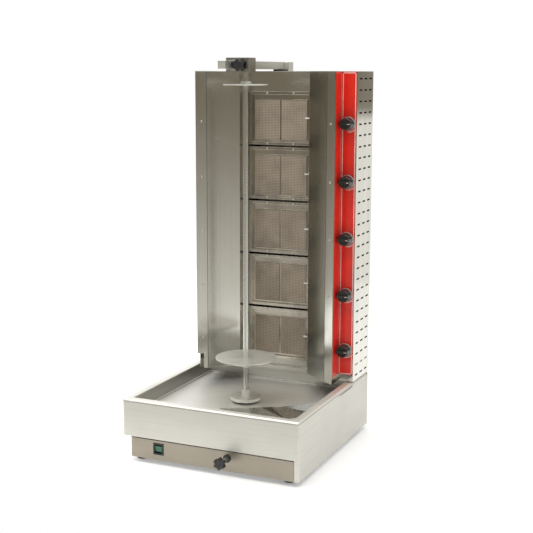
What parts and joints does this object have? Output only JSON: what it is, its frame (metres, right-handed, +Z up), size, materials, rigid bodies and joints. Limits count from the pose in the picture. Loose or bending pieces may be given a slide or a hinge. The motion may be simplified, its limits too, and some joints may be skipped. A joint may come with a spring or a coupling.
{
  "type": "gas spit grill",
  "caption": "Upright countertop gas grill with stacked infrared burners between heat shields, a driven vertical spit with discs and a drip tray base.",
  "frame": {"origin": "on the floor under the middle of the object's box", "axes": "+Z up, +X to the right seen from the front, +Y from the front to the back"},
  "size_m": [0.58, 0.7, 1.2085],
  "materials": {
    "stainless": "brushed stainless sheet",
    "tray_steel": "bright rolled stainless sheet",
    "galvanised": "galvanised sheet",
    "rubber": "matt rubber",
    "red_panel": "gloss red enamel",
    "ceramic": "perforated infrared plaque",
    "steel": "machined stainless steel",
    "burner_steel": "heat-tinted stainless",
    "scoop_steel": "polished stainless sheet",
    "pipe_steel": "painted gas pipe",
    "brass": "machined brass",
    "motor_paint": "satin paint",
    "black_plastic": "black moulded plastic",
    "grey_plastic": "grey moulded plastic",
    "knob_black": "black phenolic",
    "green_lens": "green translucent rocker"
  },
  "bodies": {
    "base": {"base_casing": "stainless", "plinth_wall": "stainless", "base_plate": "galvanised", "feet": "rubber", "tray": "tray_steel", "wing_left": "stainless", "wing_right": "stainless", "left_cover": "stainless", "control_panel": "stainless", "red_fascia": "red_panel", "right_cover": "stainless", "rear_panel": "stainless", "roof_panel": "stainless", "burner_rail": "stainless", "ceramic_plaques": "ceramic", "thermocouples": "steel", "gas_manifold": "pipe_steel", "gas_valves": "brass", "feed_pipes": "pipe_steel", "guide_rails": "steel", "rod_bush": "black_plastic", "arm_bar": "steel", "arm_bracket": "steel", "arm_pad": "rubber", "switch_frame": "black_plastic", "terminal_box": "grey_plastic", "cable_gland": "grey_plastic", "panel_screws": "steel", "burner_1": "burner_steel", "burner_2": "burner_steel", "burner_3": "burner_steel", "burner_4": "burner_steel", "burner_5": "burner_steel"},
    "carriage": {"motor_carriage": "galvanised", "gear_motor": "motor_paint", "spindle_bearing": "steel", "push_rod": "steel"},
    "spindle": {"drive_spindle": "steel", "drive_disc": "steel"},
    "spit": {"spit_rod": "steel"},
    "lower_disc": {"lower_disc": "steel", "lower_disc_screw": "steel"},
    "upper_disc": {"upper_disc": "steel", "upper_disc_screw": "steel"},
    "rod_knob": {"rod_star_knob": "black_plastic"},
    "arm_block": {"arm_block": "steel"},
    "lock_knob": {"spit_lock_knob": "black_plastic"},
    "clamp_screw": {"bar_clamp_screw": "steel"},
    "rocker": {"switch_rocker": "green_lens"},
    "scoop": {"meat_scoop": "scoop_steel"},
    "stem_1": {"stem_1": "brass"},
    "knob_1": {"knob_1": "knob_black"},
    "stem_2": {"stem_2": "brass"},
    "knob_2": {"knob_2": "knob_black"},
    "stem_3": {"stem_3": "brass"},
    "knob_3": {"knob_3": "knob_black"},
    "stem_4": {"stem_4": "brass"},
    "knob_4": {"knob_4": "knob_black"},
    "stem_5": {"stem_5": "brass"},
    "knob_5": {"knob_5": "knob_black"}
  },
  "joints": [
    {"name": "carriage_slide", "type": "slide", "parent": "base", "child": "carriage", "axis": [0, 1, 0], "range_m": [-0.025, 0.025]},
    {"name": "spit_spin", "type": "hinge", "parent": "carriage", "child": "spindle", "pos_m": [0, -0.027, 0.165], "axis": [0, 0, 1], "continuous": true},
    {"name": "spit_lift", "type": "slide", "parent": "spindle", "child": "spit", "axis": [0, 0, 1], "range_m": [0, 0.024]},
    {"name": "lower_disc_slide", "type": "slide", "parent": "spit", "child": "lower_disc", "axis": [0, 0, 1], "range_m": [-0.06, 0.3]},
    {"name": "upper_disc_slide", "type": "slide", "parent": "spit", "child": "upper_disc", "axis": [0, 0, 1], "range_m": [-0.5, 0]},
    {"name": "block_slide", "type": "slide", "parent": "base", "child": "arm_block", "axis": [0, 1, 0], "range_m": [-0.025, 0.025]},
    {"name": "rod_knob_turn", "type": "hinge", "parent": "carriage", "child": "rod_knob", "pos_m": [0.063, -0.35, 0.055], "axis": [0, -1, 0], "range_deg": [0, 720]},
    {"name": "lock_knob_turn", "type": "hinge", "parent": "arm_block", "child": "lock_knob", "pos_m": [0.001, -0.091, 1.18675], "axis": [0, -1, 0], "range_deg": [0, 720]},
    {"name": "clamp_screw_turn", "type": "hinge", "parent": "arm_block", "child": "clamp_screw", "pos_m": [-0.06, -0.039, 1.18675], "axis": [-1, 0, 0], "range_deg": [0, 720]},
    {"name": "valve_turn_1", "type": "hinge", "parent": "base", "child": "stem_1", "pos_m": [0.2645, 0.155, 1.0113], "axis": [0, -1, 0], "range_deg": [0, 210]},
    {"name": "knob_push_1", "type": "slide", "parent": "stem_1", "child": "knob_1", "axis": [0, 1, 0], "range_m": [0, 0.004], "stiffness_N_per_m": 1500, "springref_m": -0.002},
    {"name": "valve_turn_2", "type": "hinge", "parent": "base", "child": "stem_2", "pos_m": [0.2645, 0.155, 0.8333], "axis": [0, -1, 0], "range_deg": [0, 210]},
    {"name": "knob_push_2", "type": "slide", "parent": "stem_2", "child": "knob_2", "axis": [0, 1, 0], "range_m": [0, 0.004], "stiffness_N_per_m": 1500, "springref_m": -0.002},
    {"name": "valve_turn_3", "type": "hinge", "parent": "base", "child": "stem_3", "pos_m": [0.2645, 0.155, 0.6553], "axis": [0, -1, 0], "range_deg": [0, 210]},
    {"name": "knob_push_3", "type": "slide", "parent": "stem_3", "child": "knob_3", "axis": [0, 1, 0], "range_m": [0, 0.004], "stiffness_N_per_m": 1500, "springref_m": -0.002},
    {"name": "valve_turn_4", "type": "hinge", "parent": "base", "child": "stem_4", "pos_m": [0.2645, 0.155, 0.4773], "axis": [0, -1, 0], "range_deg": [0, 210]},
    {"name": "knob_push_4", "type": "slide", "parent": "stem_4", "child": "knob_4", "axis": [0, 1, 0], "range_m": [0, 0.004], "stiffness_N_per_m": 1500, "springref_m": -0.002},
    {"name": "valve_turn_5", "type": "hinge", "parent": "base", "child": "stem_5", "pos_m": [0.2645, 0.155, 0.2993], "axis": [0, -1, 0], "range_deg": [0, 210]},
    {"name": "knob_push_5", "type": "slide", "parent": "stem_5", "child": "knob_5", "axis": [0, 1, 0], "range_m": [0, 0.004], "stiffness_N_per_m": 1500, "springref_m": -0.002},
    {"name": "rocker_tilt", "type": "hinge", "parent": "base", "child": "rocker", "pos_m": [-0.166, -0.2835, 0.05], "axis": [1, 0, 0], "range_deg": [0, 20]},
    {"name": "scoop_lift", "type": "slide", "parent": "base", "child": "scoop", "axis": [0, 0, 1], "range_m": [0, 0.08]}
  ],
  "couplings": [
    {"joint": "block_slide", "follows": "carriage_slide", "ratio": 1}
  ]
}
